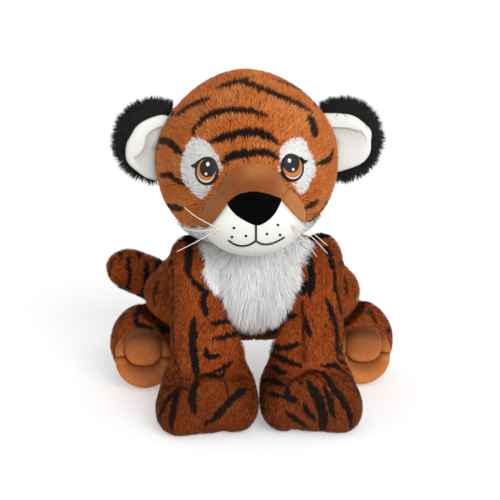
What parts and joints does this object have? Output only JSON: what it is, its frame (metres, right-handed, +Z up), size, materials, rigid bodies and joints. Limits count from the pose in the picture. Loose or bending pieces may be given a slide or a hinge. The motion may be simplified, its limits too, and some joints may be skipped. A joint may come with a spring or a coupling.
{
  "type": "plush tiger toy",
  "caption": "Soft plush tiger toy that sits on its front paws and hind legs, with striped fur, a turning head, swinging legs, folding ears and a tail that bends.",
  "frame": {"origin": "centre of the bounding box's footprint, on the floor that the paws rest on", "axes": "+Z up, -Y the way the face looks, +X the toy's left-hand side as it faces the viewer"},
  "size_m": [0.2728, 0.263, 0.3029],
  "materials": {
    "orange_fur": "short orange-brown plush pile with near-black tiger stripes",
    "white_pile": "long silky white plush pile",
    "black_pile": "long black plush pile",
    "white_velour": "short white velour and felt",
    "black_velour": "black velour, and satin-stitched black thread on the eyes",
    "tan_suede": "brushed tan suede cloth",
    "tan_velour": "smooth tan velour",
    "ivory_thread": "stiff ivory thread",
    "stuffing": "soft polyester fibre fill",
    "pellets": "bag of small plastic pellets"
  },
  "bodies": {
    "torso": {"torso_cover": "orange_fur", "torso_filling": "stuffing", "pellet_pouch": "pellets", "chest_bib": "white_pile"},
    "head": {"head_cover": "orange_fur", "head_filling": "stuffing", "muzzle_chin": "white_velour", "muzzle_top": "tan_suede", "muzzle_filling": "stuffing", "nose": "black_velour", "eye_patch_left": "white_velour", "eye_left": "black_velour", "cheek_ruff_left": "white_pile", "whiskers_left": "ivory_thread", "eye_patch_right": "white_velour", "eye_right": "black_velour", "cheek_ruff_right": "white_pile", "whiskers_right": "ivory_thread"},
    "tail": {"tail_cover": "orange_fur", "tail_filling": "stuffing"},
    "ear_left": {"ear_front_left": "white_velour", "ear_back_left": "black_pile"},
    "front_leg_left": {"front_leg_cover_left": "orange_fur", "front_leg_filling_left": "stuffing"},
    "hind_leg_left": {"hind_leg_cover_left": "orange_fur", "hind_leg_filling_left": "stuffing", "sole_left": "tan_velour"},
    "ear_right": {"ear_front_right": "white_velour", "ear_back_right": "black_pile"},
    "front_leg_right": {"front_leg_cover_right": "orange_fur", "front_leg_filling_right": "stuffing"},
    "hind_leg_right": {"hind_leg_cover_right": "orange_fur", "hind_leg_filling_right": "stuffing", "sole_right": "tan_velour"}
  },
  "joints": [
    {"name": "head_turn", "type": "hinge", "parent": "torso", "child": "head", "pos_m": [0.00238, -0.02528, 0.17], "axis": [0, 0, 1], "range_deg": [-18, 18], "stiffness_Nm_per_rad": 0.6},
    {"name": "ear_left_fold", "type": "hinge", "parent": "head", "child": "ear_left", "pos_m": [-0.07902, -0.01857, 0.2406], "axis": [-0.2164, -0.0038, 0.9763], "range_deg": [-15, 15], "stiffness_Nm_per_rad": 0.03},
    {"name": "ear_right_fold", "type": "hinge", "parent": "head", "child": "ear_right", "pos_m": [0.06712, -0.01601, 0.23997], "axis": [-0.1305, -0.0023, -0.9914], "range_deg": [-15, 15], "stiffness_Nm_per_rad": 0.03},
    {"name": "front_leg_left_swing", "type": "hinge", "parent": "torso", "child": "front_leg_left", "pos_m": [-0.05062, -0.03928, 0.1275], "axis": [-1, 0, 0], "range_deg": [-4, 25], "stiffness_Nm_per_rad": 2},
    {"name": "front_leg_right_swing", "type": "hinge", "parent": "torso", "child": "front_leg_right", "pos_m": [0.05538, -0.03928, 0.1275], "axis": [-1, 0, 0], "range_deg": [-4, 25], "stiffness_Nm_per_rad": 2},
    {"name": "hind_leg_left_splay", "type": "hinge", "parent": "torso", "child": "hind_leg_left", "pos_m": [-0.05762, 0.04272, 0.062], "axis": [0, 0, -1], "range_deg": [-4, 18], "stiffness_Nm_per_rad": 1},
    {"name": "hind_leg_right_splay", "type": "hinge", "parent": "torso", "child": "hind_leg_right", "pos_m": [0.06238, 0.04272, 0.062], "axis": [0, 0, 1], "range_deg": [-4, 18], "stiffness_Nm_per_rad": 1},
    {"name": "tail_swing", "type": "hinge", "parent": "torso", "child": "tail", "pos_m": [0.00238, 0.06572, 0.07], "axis": [0, 0, -1], "range_deg": [-4, 20], "stiffness_Nm_per_rad": 0.3}
  ]
}
